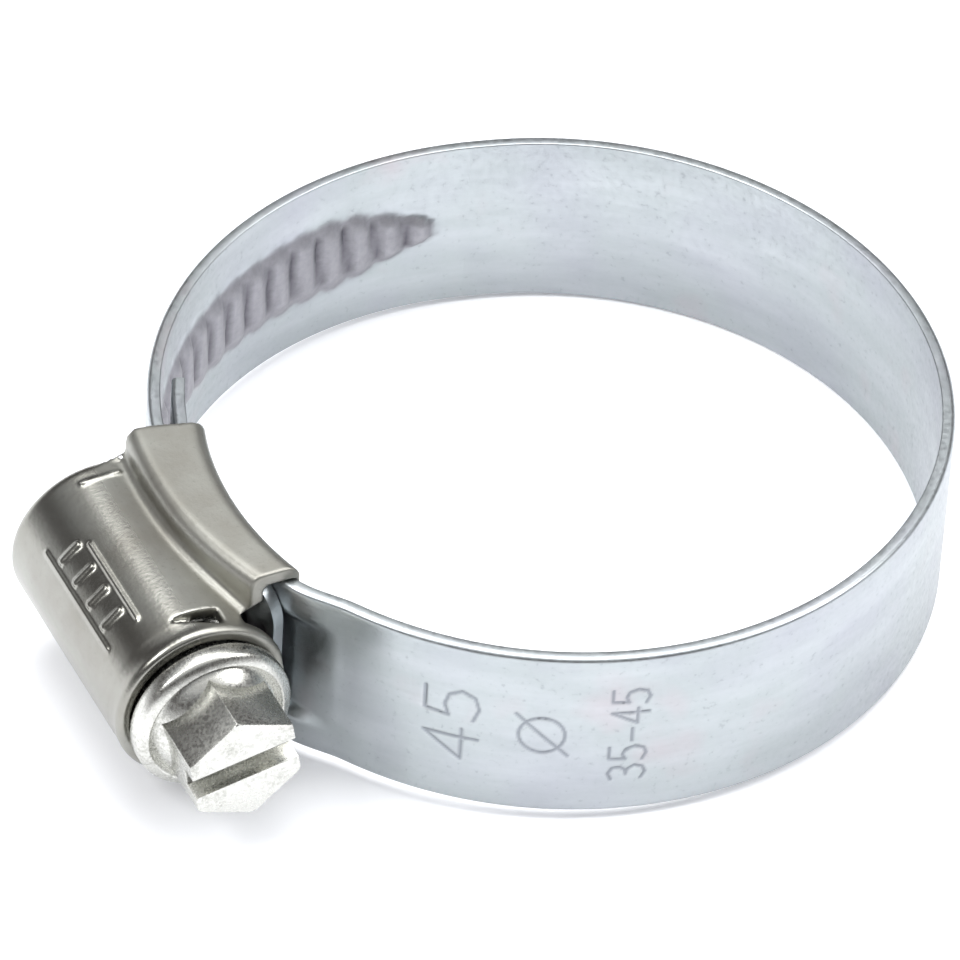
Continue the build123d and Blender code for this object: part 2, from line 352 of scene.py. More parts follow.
@dataclass(frozen=True)
class ZincStrip:
    """Bright zinc plating on rolled strip: a cool satin grey, faintly iridescent."""

    base: str = "#A9AFB1"
    lilac: str = "#A4A2B0"
    rose: str = "#B9A3AB"
    burnished: str = "#A3A1A6"  # strip stretched over the thread's punch
    # painted shade: dark colour laid in the thread's valleys, round the pressed lobes, in the
    # grooves and near the tip
    valley_shade: str = "#4E4B55"
    stamp: str = "#74787F"
    roughness: float = 0.34
    press_matt: float = 0.3  # the punch leaves the strip rougher
    pale: str = "#BDC2C5"
    cloud_mm: float = 9.0  # clouds of the passivation film
    mottle_mm: float = 2.2  # blotches of the plating
    speck_mm: float = 0.35  # drawn larger than real zinc crystals, so that they show
    streak_mm: float = 0.22  # rolling lines, drawn larger than real

    def build(self) -> bpy.types.Material:
        """Make the material.

        Returns:
            Zinc-plated strip, with thread and stamp shown by vertex attributes.
        """
        material = bpy.data.materials.new("zinc_plated_rolled_strip")
        material.use_nodes = True
        tree = material.node_tree
        shader = tree.nodes["Principled BSDF"]
        place = add_node(tree, "ShaderNodeTexCoord").outputs["Object"]
        strip = add_node(tree, "ShaderNodeUVMap", {"uv_map": "strip"}).outputs["UV"]
        clouds = add_noise(tree, place, 1 / (self.cloud_mm * MM), 3.0, 0.55)
        specks = add_noise(tree, place, 1 / (self.speck_mm * MM), 2.0)
        lilac = add_range(tree, clouds.outputs["Fac"], (0.45, 0.7), (0.0, 0.4))
        rose = add_range(tree, clouds.outputs["Fac"], (0.42, 0.28), (0.0, 0.4))
        colour = self._mix(tree, lilac.outputs["Result"], linear(self.base), linear(self.lilac))
        colour = self._mix(tree, rose.outputs["Result"], colour, linear(self.rose))
        drawn = add_node(
            tree, "ShaderNodeMapping", None, {"Vector": strip, "Scale": (0.22, 1.0, 1.0)}
        )
        mottle = add_noise(tree, drawn.outputs["Vector"], 1 / self.mottle_mm, 5.0, 0.6)
        blotch = add_range(tree, mottle.outputs["Fac"], (0.42, 0.7), (0.0, 0.5))
        colour = self._mix(tree, blotch.outputs["Result"], colour, linear(self.pale))
        fleck = add_range(tree, specks.outputs["Fac"], (0.64, 0.76), (0.0, 0.25))
        colour = self._mix(tree, fleck.outputs["Result"], colour, linear(self.stamp))
        press = add_node(tree, "ShaderNodeAttribute", {"attribute_name": "press"}).outputs["Fac"]
        deep = add_node(tree, "ShaderNodeAttribute", {"attribute_name": "valley_shade"}).outputs["Fac"]
        stamp = add_node(tree, "ShaderNodeAttribute", {"attribute_name": "stamp"}).outputs["Fac"]
        colour = self._mix(tree, press, colour, linear(self.burnished))
        # Painted shade, carried by a vertex attribute, darkens the thread's valleys, grooves and the
        # outer face near the tip.
        colour = self._mix(tree, deep, colour, linear(self.valley_shade))
        colour = self._mix(tree, stamp, colour, linear(self.stamp))
        tree.links.new(colour, shader.inputs["Base Color"])
        stretched = add_node(
            tree, "ShaderNodeMapping", None, {"Vector": strip, "Scale": (0.035, 1.0, 1.0)}
        )
        streaks = add_noise(tree, stretched.outputs["Vector"], 1 / self.streak_mm, 2.0)
        rough = add_range(
            tree, specks.outputs["Fac"], (0.3, 0.7), (self.roughness - 0.06, self.roughness + 0.08)
        )
        matt = add_node(
            tree,
            "ShaderNodeMath",
            {"operation": "MULTIPLY_ADD"},
            {0: press, 1: self.press_matt, 2: rough.outputs["Result"]},
        )
        tree.links.new(matt.outputs[0], shader.inputs["Roughness"])
        grain = add_node(
            tree,
            "ShaderNodeBump",
            None,
            {"Height": streaks.outputs["Fac"], "Strength": 0.12, "Distance": 0.02 * MM},
        )
        pits = add_node(
            tree,
            "ShaderNodeBump",
            None,
            {
                "Height": specks.outputs["Fac"],
                "Strength": 0.22,
                "Distance": 0.03 * MM,
                "Normal": grain.outputs["Normal"],
            },
        )
        tree.links.new(pits.outputs["Normal"], shader.inputs["Normal"])
        shader.inputs["Metallic"].default_value = 1.0
        return material

    @staticmethod
    def _mix(tree: bpy.types.NodeTree, factor: object, a: object, b: object) -> bpy.types.NodeSocket:
        """Mix two colours by a factor and return the result socket."""
        node = add_node(
            tree, "ShaderNodeMix", {"data_type": "RGBA"}, {"Factor": factor, 6: a, 7: b}
        )
        return node.outputs[2]


@dataclass(frozen=True)
class PressedHousing:
    """Zinc-plated deep-drawn steel: satin, warm grey, with polished draw marks."""

    base: str = "#9D9D97"
    warm: str = "#8C8A83"
    shade: str = "#7B7975"
    roughness: float = 0.36
    cloud_mm: float = 5.0
    speck_mm: float = 0.25  # drawn larger than real

    def build(self) -> bpy.types.Material:
        """Make the material.

        Returns:
            Pressed housing steel.
        """
        material = bpy.data.materials.new("zinc_plated_deep_drawn_steel")
        material.use_nodes = True
        tree = material.node_tree
        shader = tree.nodes["Principled BSDF"]
        place = add_node(tree, "ShaderNodeTexCoord").outputs["Object"]
        clouds = add_noise(tree, place, 1 / (self.cloud_mm * MM), 4.0, 0.6)
        specks = add_noise(tree, place, 1 / (self.speck_mm * MM), 3.0)
        tone = add_range(tree, clouds.outputs["Fac"], (0.35, 0.7))
        colour = ZincStrip._mix(tree, tone.outputs["Result"], linear(self.base), linear(self.warm))
        fleck = add_range(tree, specks.outputs["Fac"], (0.6, 0.78), (0.0, 0.5))
        colour = ZincStrip._mix(tree, fleck.outputs["Result"], colour, linear(self.shade))
        tree.links.new(colour, shader.inputs["Base Color"])
        polish = add_node(tree, "ShaderNodeAttribute", {"attribute_name": "polish"}).outputs["Fac"]
        rough = add_node(
            tree,
            "ShaderNodeMapRange",
            None,
            {"Value": polish, "To Min": self.roughness + 0.08, "To Max": self.roughness - 0.1},
        )
        tree.links.new(rough.outputs["Result"], shader.inputs["Roughness"])
        pits = add_node(
            tree,
            "ShaderNodeBump",
            None,
            {"Height": specks.outputs["Fac"], "Strength": 0.25, "Distance": 0.03 * MM},
        )
        tree.links.new(pits.outputs["Normal"], shader.inputs["Normal"])
        shader.inputs["Metallic"].default_value = 1.0
        return material


@dataclass(frozen=True)
class BrightScrew:
    """Bright zinc on a cold-headed screw: shiny, with dark handling speckle."""

    base: str = "#CBCBC6"
    speckle: str = "#77776F"
    roughness: float = 0.24
    cloud_mm: float = 2.2
    speck_mm: float = 0.22  # drawn larger than real

    def build(self) -> bpy.types.Material:
        """Make the material.

        Returns:
            Bright zinc-plated screw steel.
        """
        material = bpy.data.materials.new("bright_zinc_cold_headed_steel")
        material.use_nodes = True
        tree = material.node_tree
        shader = tree.nodes["Principled BSDF"]
        place = add_node(tree, "ShaderNodeTexCoord").outputs["Object"]
        clouds = add_noise(tree, place, 1 / (self.cloud_mm * MM), 3.0)
        specks = add_noise(tree, place, 1 / (self.speck_mm * MM), 3.0, 0.7)
        patch = add_node(
            tree,
            "ShaderNodeMath",
            {"operation": "MULTIPLY"},
            {0: clouds.outputs["Fac"], 1: specks.outputs["Fac"]},
        )
        fleck = add_range(tree, patch.outputs[0], (0.24, 0.42), (0.0, 0.5))
        colour = ZincStrip._mix(
            tree, fleck.outputs["Result"], linear(self.base), linear(self.speckle)
        )
        tree.links.new(colour, shader.inputs["Base Color"])
        rough = add_range(
            tree, specks.outputs["Fac"], (0.3, 0.7), (self.roughness - 0.06, self.roughness + 0.12)
        )
        tree.links.new(rough.outputs["Result"], shader.inputs["Roughness"])
        pits = add_node(
            tree,
            "ShaderNodeBump",
            None,
            {"Height": specks.outputs["Fac"], "Strength": 0.3, "Distance": 0.03 * MM},
        )
        tree.links.new(pits.outputs["Normal"], shader.inputs["Normal"])
        shader.inputs["Metallic"].default_value = 1.0
        return material


# ---- Band -----------------------------------------------------------------------


@dataclass
class Stamps:
    """Generic marks stamped in the band: a size, a diameter sign and a size range."""

    stroke_mm: float = 0.2
    depth_mm: float = 0.07
    size_start: float = -134.9
    size_end: float = -126.9
    size_half: float = 3.0
    sign_middle: float = -117.8
    sign_radius_mm: float = 1.35
    range_start: float = -108.0
    range_end: float = -102.6
    range_half: float = 3.75
    glyphs: dict[str, list[list[tuple[float, float]]]] = field(
        default_factory=lambda: {
            "4": [[(0.72, 0.0), (0.72, 1.0), (0.0, 0.3), (1.0, 0.3)]],
            "5": [
                [
                    (0.95, 1.0),
                    (0.2, 1.0),
                    (0.12, 0.56),
                    (0.45, 0.64),
                    (0.8, 0.56),
                    (0.98, 0.32),
                    (0.82, 0.08),
                    (0.45, 0.0),
                    (0.05, 0.1),
                ]
            ],
            "3": [
                [
                    (0.08, 0.92),
                    (0.45, 1.0),
                    (0.82, 0.9),
                    (0.88, 0.7),
                    (0.7, 0.56),
                    (0.4, 0.52),
                    (0.72, 0.48),
                    (0.95, 0.3),
                    (0.82, 0.08),
                    (0.45, 0.0),
                    (0.05, 0.1),
                ]
            ],
            "-": [[(0.1, 0.42), (0.9, 0.42)]],
        }
    )

    def lines(self, text: str, tops: float, feet: float, half: float, radius: float) -> list:
        """Lay out a word that reads along +Z.

        Args:
            text: Characters to lay out.
            tops: Angle of the characters' tops, in degrees.
            feet: Angle of their feet.
            half: Half the word's length in millimetres.
            radius: Radius of the stamped face in millimetres.

        Returns:
            Polylines of (arc length, z) in millimetres.
        """
        pitch = 2 * half / len(text)
        lines = []
        for index, glyph in enumerate(text):
            start = -half + pitch * index
            for stroke in self.glyphs[glyph]:
                lines.append(
                    [
                        (
                            math.radians(feet + (tops - feet) * y) * radius,
                            start + pitch * (0.1 + 0.78 * x),
                        )
                        for x, y in stroke
                    ]
                )
        return lines

    def all_lines(self, radius: float) -> list:
        """Every stamped line on a face of a radius, as polylines in millimetres."""
        lines = self.lines("45", self.size_start, self.size_end, self.size_half, radius)
        lines += self.lines("35-45", self.range_start, self.range_end, self.range_half, radius)
        middle = math.radians(self.sign_middle) * radius
        ring = [
            (
                middle + self.sign_radius_mm * math.cos(math.tau * i / 24),
                self.sign_radius_mm * math.sin(math.tau * i / 24),
            )
            for i in range(25)
        ]
        reach = self.sign_radius_mm * 1.15
        lines.append(ring)
        lines.append([(middle + reach, -reach), (middle - reach, reach)])
        return lines

    def depth_at(self, arc: np.ndarray, z: np.ndarray, radius: float) -> np.ndarray:
        """How far each point is pressed, from 0 at the face to 1 in a stroke's middle.

        Args:
            arc: Arc length of each point in millimetres.
            z: Height of each point in millimetres.
            radius: Radius of the stamped face.

        Returns:
            Values from 0 to 1.
        """
        nearest = np.full(len(arc), 1e9)
        spot = np.column_stack([arc, z])
        for line in self.all_lines(radius):
            for start, end in zip(line, line[1:]):
                a, b = np.array(start), np.array(end)
                along = b - a
                share = np.clip((spot - a) @ along / (along @ along), 0, 1)
                gap = np.linalg.norm(spot - a - share[:, None] * along, axis=1)
                nearest = np.minimum(nearest, gap)
        return smoothstep(self.stroke_mm * 0.85, self.stroke_mm * 0.2, nearest)


@dataclass
class Band:
    """The steel band: fixed end with its tongue, bending ring and threaded end."""

    outer_round: float = 0.3
    inner_round: float = 0.08
    facet_degrees: float = 0.35
    joggle_degrees: float = 10.0
    tongue_drop: float = 0.6  # the tongue leaves room for the pressed thread past the saddle
    tip_corner: float = 3.0
    layer_gap: float = 0.05  # between the threaded end and the tongue under it
    tooth_pitch: float = 2.1
    thread_start: float = 81.5
    run_in_shares: tuple[float, ...] = (0.34, 0.4, 0.64, 0.88, 1.0)
    bulge_half: float = 3.35
    bulge_height: float = 0.5
    bulge_room: float = 0.06
    groove_depth: float = 0.5
    # Painted shade on the threaded end's outer face: where it sets in before the tip, and how dark
    # it gets.
    tip_shade_degrees: tuple[float, float] = (12.0, 7.0)  # before the tip, where the painted shade sets in
    outer_shade_share: float = 0.4
    stamps: Stamps = field(default_factory=Stamps)

    def __post_init__(self) -> None:
        """Read the band's sizes from the frame."""
        _, high = node_box("band_segment_01")
        pivots = [joint_place(f"flex_{i:02d}") for i in range(1, FLEX_COUNT + 1)]
        self.half_width = float(high[2])
        self.bore = float(np.hypot(*pivots[-1][:2]))
        self.turns = [math.degrees(math.atan2(p[1], p[0])) for p in pivots]
        self.step = (self.turns[-1] - self.turns[0]) / (FLEX_COUNT - 1)
        self.ring_start = self.turns[0] - self.step
        far = node_box(f"band_segment_{FLEX_COUNT - 3:02d}")[1]
        self.thickness = float(far[0]) - self.bore
        centre = joint_place("tail_feed")
        self.shift = float(np.hypot(centre[0], centre[1]))
        self.shift_turn = math.degrees(math.atan2(centre[1], centre[0])) % 360
        self.centre = centre[:2]
        root = pivots[-1][:2] - self.centre
        self.tail_inner = float(np.hypot(*root))
        self.tail_outer = self.tail_inner + self.thickness
        self.tooth_degrees = math.degrees(self.tooth_pitch / self.tail_outer)
        self.material = ZincStrip().build()

    def ring_radius(self, turn: np.ndarray) -> np.ndarray:
        """Inner radius of the plain ring."""
        return np.full(len(turn), self.bore)

    def spiral_radius(self, turn: np.ndarray, radius: float) -> np.ndarray:
        """Distance from the ring's centre to an arc about the tail's own centre."""
        off = np.radians(turn - self.shift_turn)
        return self.shift * np.cos(off) + np.sqrt(radius**2 - (self.shift * np.sin(off)) ** 2)

    def tail_radius(self, turn: np.ndarray) -> np.ndarray:
        """Inner radius of the threaded end."""
        return self.spiral_radius(turn, self.tail_inner)

    def fixed_radius(self, turn: np.ndarray) -> np.ndarray:
        """Inner radius of the fixed end: ring, joggle, then the tongue under the tail."""
        tongue = self.spiral_radius(turn, self.tail_inner - self.layer_gap - self.thickness)
        ring_end = self.ring_start + 355
        share = smoothstep(ring_end, ring_end - self.joggle_degrees, turn)
        drop = self.tongue_drop * smoothstep(182.0, 162.0, turn)
        return self.bore + (tongue - self.bore) * share - drop

    def strip(
        self, name: str, start: float, end: float, rows: int, columns: int = 0
    ) -> bpy.types.Object:
        """A flat bar with rounded long edges; x is the turn in degrees.

        Args:
            name: Name of the piece.
            start: Angle of one end in degrees.
            end: Angle of the other end.
            rows: Divisions along the strip.
            columns: Extra cuts across its two faces.

        Returns:
            The flat strip, y across and z through its thickness.
        """
        half = self.half_width
        piece = Workshop.bar(name, (start, -half, 0.0), (end, half, self.thickness))
        long_edge = lambda a, b: abs(a[0] - b[0]) > 1e-6
        for level, size in ((self.thickness, self.outer_round), (0.0, self.inner_round)):
            Workshop.pick_edges(
                piece, lambda a, b: long_edge(a, b) and abs(a[2] - level) < 1e-6
                and abs(abs(a[1]) - half) < 1e-6
            )
            bpy.ops.mesh.bevel(offset=size, segments=4, affect="EDGES")
            bpy.ops.object.mode_set(mode="OBJECT")
        Workshop.cut_edges(piece, long_edge, rows - 1)
        wide = half
        Workshop.cut_edges(piece, lambda a, b: abs(a[1] - b[1]) > wide, columns)
        return piece

    def wrap(
        self,
        piece: bpy.types.Object,
        radius: Shape,
        push: Shape | None = None,
        lap: float = 0.0,
    ) -> None:
        """Bend a flat strip round the ring's axis.

        Args:
            piece: Flat strip from strip().
            radius: Inner radius at each turn.
            push: Radial move of each point, from its flat place, or nothing.
            lap: Degrees taken off the turn, so that the grain runs on from the ring.
        """
        flat = Workshop.points(piece)
        layer = piece.data.uv_layers.new(name="strip")
        loops = np.zeros(len(piece.data.loops), np.int64)
        piece.data.loops.foreach_get("vertex_index", loops)
        arc = np.radians(flat[:, 0] - lap) * self.bore
        uv = np.column_stack([arc, flat[:, 1]])[loops]
        layer.data.foreach_set("uv", uv.ravel().astype(np.float32))
        turn = np.radians(flat[:, 0])
        out = radius(flat[:, 0]) + flat[:, 2]
        if push is not None:
            out = out + push(flat)
        wrapped = np.column_stack([out * np.cos(turn), out * np.sin(turn), flat[:, 1]])
        Workshop.reshape(piece, lambda _: wrapped)
        Workshop.outward(piece)

    def build_ring(self) -> list[bpy.types.Object]:
        """Strips of the ring, each from the middle of one segment to the next.

        Returns:
            The finished strips.
        """
        pieces = []
        joins = [self.ring_start + 5.0]
        joins += [turn + self.step / 2 for turn in self.turns[:-1]]
        joins += [self.turns[-1] + 1.5]
        first = self.strip("band_start", self.ring_start, joins[0], 16)
        self.wrap(first, self.ring_radius)
        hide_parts("band_segment_01")
        Workshop.finish(first, "band_start", self.material, Slot.BAND)
        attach(first, "band_segment_01")
        pieces.append(first)
        for index in range(FLEX_COUNT):
            start, end = joins[index], joins[index + 1]
            stamped = index < 2
            name = f"band_strip_{index + 1:02d}"
            facet = 0.14 if stamped else self.facet_degrees
            rows = math.ceil((end - start) / facet)
            piece = self.strip(name, start, end, rows, 180 if stamped else 0)
            if stamped:
                self._stamp(piece)
            radius = self.tail_blend_radius if index == FLEX_COUNT - 1 else self.ring_radius
            self.wrap(piece, radius, self._stamp_push if stamped else None)
            last = index == FLEX_COUNT - 1
            high_body = "threaded_end" if last else f"band_segment_{index + 2:02d}"
            if not last:
                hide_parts(high_body)
            Workshop.finish(piece, name, self.material, Slot.BAND)
            middle = (self.bore + self.thickness / 2) * MM
            ends = [
                Vector((math.cos(math.radians(t)), math.sin(math.radians(t)), 0)) * middle
                for t in (start, end)
            ]
            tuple(ends[0])
            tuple(ends[1])
            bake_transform(piece)
            pieces.append(piece)
        return pieces

    def tail_blend_radius(self, turn: np.ndarray) -> np.ndarray:
        """Inner radius across the root of the threaded end."""
        return np.where(turn < self.turns[-1], self.bore, self.tail_radius(turn))

    def _stamp(self, piece: bpy.types.Object) -> None:
        """Store the stamped lines on a flat strip."""
        flat = Workshop.points(piece)
        Workshop.mark(piece, "stamp", self._stamp_share(flat) * 0.75)

    def _stamp_share(self, flat: np.ndarray) -> np.ndarray:
        """How far the outer face is stamped at each flat point, 0 to 1."""
        outer = self.bore + self.thickness
        arc = np.radians(flat[:, 0]) * outer
        share = self.stamps.depth_at(arc, flat[:, 1], outer)
        return share * (flat[:, 2] > self.thickness - 1e-4)

    def _stamp_push(self, flat: np.ndarray) -> np.ndarray:
        """Radial move of the stamped lines."""
        return -self.stamps.depth_mm * self._stamp_share(flat)

    def thread(self, flat: np.ndarray) -> tuple[np.ndarray, np.ndarray, np.ndarray]:
        """Shape of the pressed thread at points of the flat tail.

        Args:
            flat: Rows of (turn, across, through).

        Returns:
            Bulge 0..1 on the inner face, groove 0..1 on the outer face, and the
            share of pressed surface.
        """
        radius = self.tail_radius(flat[:, 0])
        turn = np.radians(flat[:, 0])
        x = radius * np.cos(turn) - self.centre[0]
        y = radius * np.sin(turn) - self.centre[1]
        own = np.degrees(np.arctan2(y, x)) % 360
        slant = 0.27 * flat[:, 1]
        phase = (own - 180.0 - slant) / self.tooth_degrees
        off = phase - np.round(phase)
        lobe = 1.0 - np.abs(2 * off) ** 1.8
        run = (own - self.thread_start) / self.tooth_degrees
        width = self.bulge_half * np.interp(run, (0.0, 0.5, 1.5, 2.5, 3.5), self.run_in_shares)
        cap = np.sqrt(np.clip(1.0 - np.clip(1.0 - run / 0.7, 0, 1) ** 2, 0, 1))
        width = width * (0.88 + 0.12 * lobe) * cap
        run_out = smoothstep(self.tip_turn - 0.5, self.tip_turn - 2.5, flat[:, 0])
        inside = np.clip((width - np.abs(flat[:, 1])) / np.maximum(width, 0.01), 0, 1)
        dome = smoothstep(0.0, 1.0, np.minimum(inside / 0.55, 1.0))
        body = dome * (run > 0) * run_out
        bulge = body * (0.12 + 0.88 * lobe)
        groove = body * smoothstep(0.36, 0.16, np.abs(off))
        return bulge, groove, body

    def build_tail(self) -> bpy.types.Object:
        """Threaded end with its pressed thread and half-round tip.

        Returns:
            The finished piece.
        """
        start = self.turns[-1] + 1.5
        low = node_box("band_tail")[0]
        self.tip_turn = self.tail_tip()
        rows = math.ceil((self.tip_turn - start) / 0.32)
        piece = self.strip("band_threaded_end", start, self.tip_turn, rows, 96)
        flat = Workshop.points(piece)
        bulge, groove, body = self.thread(flat)
        inner = flat[:, 2] < self.thickness / 2
        # Painted shade: how far each inner point lies down between the lobes, later darkened as if
        # in shade.
        valley_shade = body * np.clip(1.0 - bulge / np.maximum(body, 1e-6), 0, 1) * inner
        # Painted shade on the outer face: darker in the grooves, and over the last degrees before
        # the tip, where the housing's mouth casts shadow and the dark head is reflected.
        near_tip = smoothstep(*(self.tip_turn - np.array(self.tip_shade_degrees)), flat[:, 0])
        groove_and_tip_shade = groove + smoothstep(0.05, 0.5, body) * near_tip
        outer_shade = np.where(inner, 0.0, groove_and_tip_shade * self.outer_shade_share)
        Workshop.mark(piece, "press", smoothstep(0.05, 0.35, body) * 0.85)
        # Painted shade: the valleys between lobes, and a faint dark rim round the pressed patch on
        # the inner face, as if shadowed at its edge.
        rim = smoothstep(0.02, 0.3, body) * smoothstep(0.95, 0.5, body) * inner
        deep = np.maximum(smoothstep(0.2, 0.75, valley_shade) * 0.72, rim * 0.12)
        Workshop.mark(piece, "valley_shade", np.maximum(deep, outer_shade))
        push = np.where(inner, -self.bulge_height * bulge, -self.groove_depth * groove)
        round_run = math.degrees(self.tip_corner / self.tail_inner)
        straight = self.half_width - self.tip_corner

        def tip_round(points: np.ndarray) -> np.ndarray:
            """Round the strip's end between its corners."""
            run = points[:, 0] - (self.tip_turn - round_run)
            past_corner = np.clip((np.abs(points[:, 1]) - straight) / self.tip_corner, 0, 1)
            share = np.sqrt(1 - past_corner**2)
            moved = points.copy()
            past = run > 0
            moved[past, 0] = self.tip_turn - round_run + run[past] * share[past]
            return moved

        Workshop.reshape(piece, tip_round)
        self.wrap(piece, self.tail_radius, lambda _: push)
        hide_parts("band_tail")
        Workshop.finish(piece, "band_threaded_end", self.material, Slot.BAND, 50.0)
        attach(piece, "threaded_end")
        LOG.info("threaded end reaches y %.1f mm", low[1])
        return piece

    def tail_tip(self) -> float:
        """Angle of the threaded end's tip about the ring's centre, in degrees."""
        points = np.array([v.co for v in frame["nodes"]["band_tail"].data.vertices]) / MM
        turns = np.degrees(np.arctan2(points[:, 1], points[:, 0])) % 360
        return float(turns.max())

    def build_fixed_end(self) -> bpy.types.Object:
        """Fixed end: ring stretch, joggle and the tongue under the tail.

        Returns:
            The finished piece.
        """
        points = np.array([v.co for v in frame["nodes"]["band_fixed_end"].data.vertices]) / MM
        turns = np.degrees(np.arctan2(points[:, 1], points[:, 0])) % 360
        start, end = float(turns.min()), self.ring_start + 360
        rows = math.ceil((end - start) / self.facet_degrees)
        piece = self.strip("band_fixed_end", start, end, rows, 24)
        flat = Workshop.points(piece)
        outer = flat[:, 2] > self.thickness / 2
        gap = self.tail_radius(flat[:, 0]) - self.fixed_radius(flat[:, 0]) - self.thickness
        room = smoothstep(self.bulge_half + 0.6, self.bulge_half + 0.1, np.abs(flat[:, 1]))
        trough = np.maximum(0.0, self.bulge_height + self.bulge_room - gap) * room
        push = np.where(outer, -trough, 0.0)
        self.wrap(piece, self.fixed_radius, lambda _: push, lap=360.0)
        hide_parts("band_fixed_end")
        Workshop.finish(piece, "band_fixed_tongue", self.material, Slot.BAND, 50.0)
        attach(piece, "housing")
        return piece


# ---- Housing --------------------------------------------------------------------


@dataclass
class Housing:
    """One-piece pressed housing: saddle, roofs, joggled walls and barrel."""

    saddle_start: float = -9.0
    saddle_end: float = 4.6
    saddle_middle: float = -2.2
    underside_radius: float = 22.1
    crown_height: float = 26.15
    crown_place: float = 0.3
    crown_bend: float = 22.0  # radius of the roof's outer edge where it is highest
    end_slant: float = 0.9  # the tip-side end leans out towards the barrel
    barrel_radius: float = 5.32  # plain part; the rolled lip at the mouth rises to 5.38
    barrel_bore: float = 4.55
    end_wall: float = 0.85
    tip_bore: float = 2.35
    inner_round: float = 0.9
    outer_round: float = 0.85
    valley_round: float = 0.55
    passage_in: float = 22.113
    passage_out: float = 24.063
    passage_half: float = 6.1
    tongue_drop: float = 0.6
    grain: float = 0.11  # size of the grid that fuses and rounds the pressed shape
    rib_turns: tuple[float, float] = (31.0, 59.0)
    rib_start: float = -7.2
    rib_end: float = 1.8

    def __post_init__(self) -> None:
        """Read the housing's place from the frame."""
        low, high = node_box("housing")
        self.half = float(high[2])
        self.axis = -float(joint_place("screw_spin")[0])
        self.barrel_start = float(low[1])
        self.barrel_end = float(high[1])
        self.bore = float(np.hypot(*joint_place("flex_01")[:2]))
        self.centre = joint_place("tail_feed")[:2]
        self.material = PressedHousing().build()

    def section(self, y: float, count: int) -> np.ndarray:
        """Outline of the saddle and barrel at one place along the screw.

        Args:
            y: Place along the screw in millimetres.
            count: Points round the outline.

        Returns:
            Rows of (distance from the ring's axis, z), all the way round.
        """
        inner = math.sqrt(self.underside_radius**2 - (y - self.saddle_middle) ** 2)
        outer = self.crown_height - (y - self.crown_place) ** 2 / (2 * self.crown_bend)
        centre, radius = self.axis, self.barrel_radius
        round_in = min(self.inner_round, (outer - inner) * 0.42)
        round_out = min(self.outer_round, (outer - inner) * 0.42)
        reach = radius + self.valley_round
        rise = outer + self.valley_round - centre
        valley_z = math.sqrt(max(reach**2 - rise**2, 0.01))
        touch = math.atan2(valley_z, rise)
        spots: list[tuple[float, float]] = [(inner, 0.0), (inner, self.half - round_in)]
        turns = np.radians(np.linspace(0, 90, 9))
        corner = (inner + round_in, self.half - round_in)
        spots += [
            (corner[0] - round_in * math.cos(t), corner[1] + round_in * math.sin(t)) for t in turns
        ]
        corner = (outer - round_out, self.half - round_out)
        spots += [
            (corner[0] + round_out * math.sin(t), corner[1] + round_out * math.cos(t))
            for t in turns
        ]
        last = math.pi + touch
        bend = np.linspace(math.pi, last, 9)
        spots += [
            (
                outer + self.valley_round + self.valley_round * math.cos(t),
                valley_z + self.valley_round * math.sin(t),
            )
            for t in bend
        ]
        spots += [
            (centre + radius * math.cos(t), radius * math.sin(t))
            for t in np.linspace(touch, 0.0, 40)
        ]
        half = np.array(spots)
        whole = np.vstack([half, (half * [1, -1])[::-1][1:-1], half[:1]])
        lengths = np.concatenate([[0], np.cumsum(np.linalg.norm(np.diff(whole, axis=0), axis=1))])
        wanted = np.linspace(0, lengths[-1], count, endpoint=False)
        return np.column_stack([np.interp(wanted, lengths, whole[:, k]) for k in (0, 1)])

    def saddle(self) -> bpy.types.Object:
        """Solid saddle with the barrel's back, between its two cut ends."""
        around, stations = 240, 60
        places = np.linspace(self.saddle_start, self.saddle_end, stations)
        rings = np.array([self.section(y, around) for y in places])

        def shape(spots: np.ndarray) -> np.ndarray:
            index = np.round(spots[:, 0] * around).astype(int) % around
            station = np.round(spots[:, 1] * (stations - 1)).astype(int)
            picked = rings[station, index]
            lean = self.end_slant * smoothstep(21.0, 24.5, picked[:, 0])
            lean = lean * smoothstep(28.5, 26.5, picked[:, 0]) * smoothstep(0.5, 1.0, spots[:, 1])
            return np.column_stack([-picked[:, 0], places[station] + lean, picked[:, 1]])

        return Workshop.loft("saddle", around, stations, shape)

    def turned_form(self, name: str, profile: list[tuple[float, float]]) -> bpy.types.Object:
        """A form turned about the screw's axis from rows of (y, radius)."""
        return turned_form(name, profile, -self.axis, 96)

    def barrel(self) -> bpy.types.Object:
        """Solid barrel with a rolled lip at its mouth and a rounded closed end."""
        mouth, end, radius = self.barrel_start, self.barrel_end, self.barrel_radius
        lip = [(0.0, 0.2), (0.05, 0.08), (0.2, -0.04), (0.4, -0.08), (0.6, -0.04), (0.95, 0.0)]
        profile = [(mouth, 0.0)] + [(mouth + run, radius - 0.02 - drop) for run, drop in lip]
        turns = np.radians(np.linspace(0, 90, 7))
        profile += [(end - 0.8 + 0.8 * math.sin(t), radius - 0.8 + 0.8 * math.cos(t)) for t in turns]
        profile += [(end, 0.0)]
        return self.turned_form("barrel", profile)

    def passage(self) -> bpy.types.Object:
        """Room for the band, cut through the saddle from end to end."""
        low, high = self.passage_in, self.passage_out
        half, soft = self.passage_half, 0.3
        stations, around = 90, 16
        outline = np.array(
            [
                (low, -half + soft),
                (low, -half / 3),
                (low, half / 3),
                (low, half - soft),
                (low + soft * 0.3, half - soft * 0.3),
                (low + soft, half),
                (high - soft, half),
                (high - soft * 0.3, half - soft * 0.3),
                (high, half - soft),
                (high, half / 3),
                (high, -half / 3),
                (high, -half + soft),
                (high - soft * 0.3, -half + soft * 0.3),
                (high - soft, -half),
                (low + soft, -half),
                (low + soft * 0.3, -half + soft * 0.3),
            ]
        )

